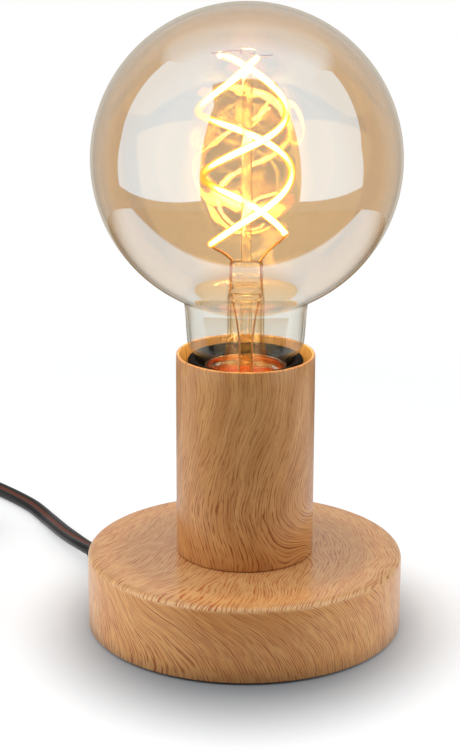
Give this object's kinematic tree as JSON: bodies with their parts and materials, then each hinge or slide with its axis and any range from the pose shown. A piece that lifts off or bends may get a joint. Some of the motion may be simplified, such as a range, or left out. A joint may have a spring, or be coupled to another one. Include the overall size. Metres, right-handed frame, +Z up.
{
  "type": "table lamp",
  "caption": "Low table lamp: a weighted round foot and an open tube hold a large globe filament bulb upright, with a flat lead, in-line switch and plug.",
  "frame": {"origin": "middle of the foot's underside, on the table", "axes": "+Z up through the bulb, -Y towards the viewer of the picture, +X to that viewer's right; the lead leaves at the back left"},
  "size_m": [0.2349, 0.1947, 0.1985],
  "materials": {
    "printed_wood_foot": "satin wood-grain film on pressed steel",
    "printed_wood_tube": "satin wood-grain film on drawn steel",
    "cast_iron": "rough black iron",
    "black_steel": "satin black",
    "foam": "matte foam rubber",
    "zinc": "bright zinc plate",
    "brass": "plain brass",
    "black_plastic": "semi-gloss moulded",
    "ceramic": "fine matt porcelain white",
    "nickel": "nickel plate",
    "wire_brown": "smooth insulation",
    "wire_blue": "smooth insulation",
    "black_rubber": "matte",
    "cord_black": "satin flat two-core flex",
    "switch_black": "fine spark texture",
    "rocker_black": "smooth",
    "solder": "soft solder dome",
    "amber_glass": "half-mirror amber coat on blown glass",
    "clear_glass": "clear blown glass",
    "phosphor": "soft yellow silicone phosphor",
    "wire_steel": "drawn wire",
    "black_glass": "fused black glass",
    "board": "circuit board with parts"
  },
  "bodies": {
    "lamp": {"base_shell": "printed_wood_foot", "ballast_disc": "cast_iron", "bottom_plate": "black_steel", "foot_pad": "foam", "plate_screws": "zinc", "housing_tube": "printed_wood_tube", "threaded_nipple": "brass", "nipple_nut": "zinc", "lock_washer": "zinc", "lampholder_cap": "black_plastic", "lampholder_shell": "black_plastic", "terminal_block": "ceramic", "terminals": "brass", "terminal_screws": "zinc", "screw_shell": "nickel", "centre_contact": "brass", "wire_live": "wire_brown", "wire_neutral": "wire_blue", "cord_grommet": "black_rubber", "cord_clamp": "zinc", "clamp_screws": "zinc", "mains_lead": "cord_black", "switch_lower": "switch_black", "switch_upper": "switch_black", "switch_screws": "zinc", "switch_terminals": "brass", "lead_run": "cord_black", "cord_coil": "cord_black", "lead_tail": "cord_black", "plug_relief": "black_rubber", "plug_body": "switch_black", "plug_pins": "nickel", "pin_sleeves": "black_plastic"},
    "bulb_foot": {"foot_contact": "solder"},
    "bulb": {"bulb_globe": "amber_glass", "bulb_stem": "clear_glass", "exhaust_tube": "clear_glass", "filament_post": "clear_glass", "filament_a": "phosphor", "filament_b": "phosphor", "support_wires": "wire_steel", "lead_wires": "wire_steel", "cap_shell": "nickel", "cap_insulator": "black_glass", "driver_board": "board"},
    "rocker": {"switch_rocker": "rocker_black"}
  },
  "joints": [
    {"name": "bulb_lift", "type": "slide", "parent": "lamp", "child": "bulb_foot", "axis": [0, 0, 1], "range_m": [0, 0.0182]},
    {"name": "bulb_turn", "type": "hinge", "parent": "bulb_foot", "child": "bulb", "pos_m": [0, 0, 0.06], "axis": [0, 0, 1], "range_deg": [0, 1800]},
    {"name": "rocker_tilt", "type": "hinge", "parent": "lamp", "child": "rocker", "pos_m": [-0.165, 0.075, 0.0095], "axis": [1, 0, 0], "range_deg": [0, 16]}
  ],
  "couplings": [
    {"joint": "bulb_lift", "follows": "bulb_turn", "m_per_rad": 0.00057614}
  ]
}
